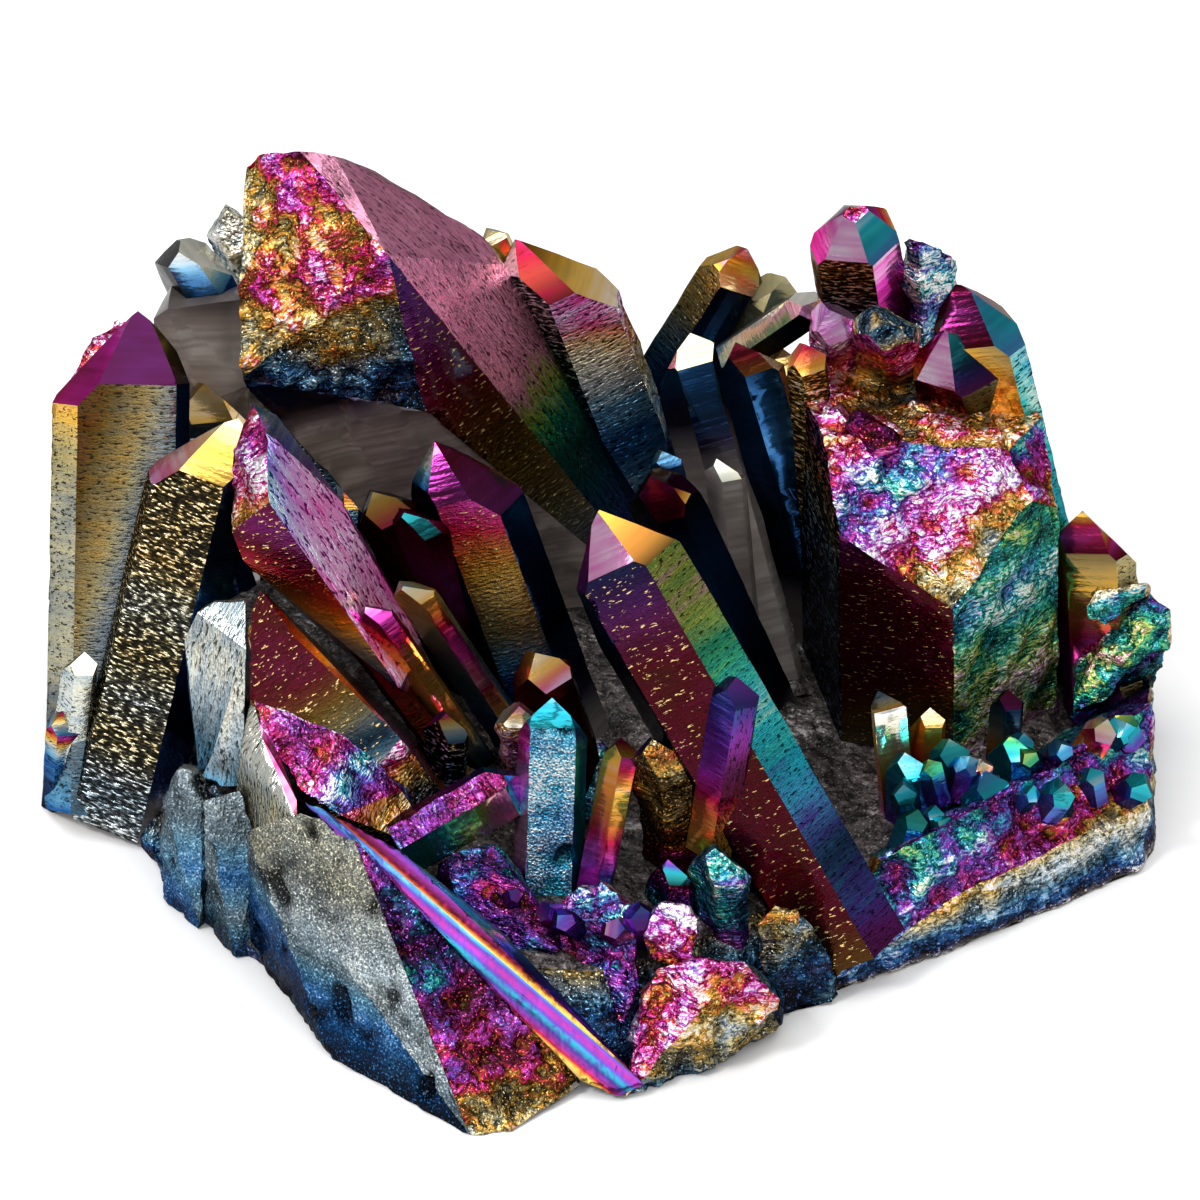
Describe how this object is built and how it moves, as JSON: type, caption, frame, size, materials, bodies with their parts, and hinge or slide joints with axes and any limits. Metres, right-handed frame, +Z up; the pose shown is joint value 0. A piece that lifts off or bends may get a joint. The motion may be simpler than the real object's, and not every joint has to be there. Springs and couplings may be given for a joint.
{
  "type": "aura quartz cluster",
  "caption": "Cluster of aura-coated quartz crystals grown together on one shared foot, cut flat below so that it stands on a shelf.",
  "frame": {"origin": "in the flat cut face that the cluster rests on, under its middle", "axes": "+Z up from the cut face; +X to the right and +Y to the back, seen from the side with the open middle"},
  "size_m": [0.0817, 0.0761, 0.044],
  "materials": {
    "aura_quartz": "clear smoky quartz under a thin mirror-like metal-oxide film, which runs through pink, gold, steel, blue, violet and teal"
  },
  "bodies": {
    "root": {"quartz_cluster": "aura_quartz"}
  },
  "joints": []
}
